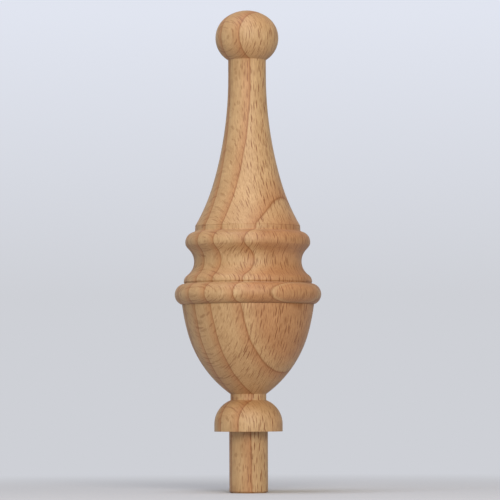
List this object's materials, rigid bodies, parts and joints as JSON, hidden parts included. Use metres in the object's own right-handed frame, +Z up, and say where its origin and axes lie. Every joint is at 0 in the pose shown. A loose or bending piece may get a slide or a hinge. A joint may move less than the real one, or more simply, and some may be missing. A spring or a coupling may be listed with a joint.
{
  "type": "turned wood finial",
  "caption": "Turned wood finial: flattened ball on a flared neck, bead, cove and half-round ring over a tapering bowl, half-round foot with a plain round peg.",
  "frame": {"origin": "centre of the foot's flat underside, on the peg's axis, where the peg leaves the foot", "axes": "+Z up along the turning axis from the foot to the ball; the peg runs down to -Z; round about Z, with -Y taken as the front"},
  "size_m": [0.0454, 0.0454, 0.15],
  "materials": {
    "finial": "sanded, unfinished"
  },
  "bodies": {
    "root": {"finial": "finial"}
  },
  "joints": []
}
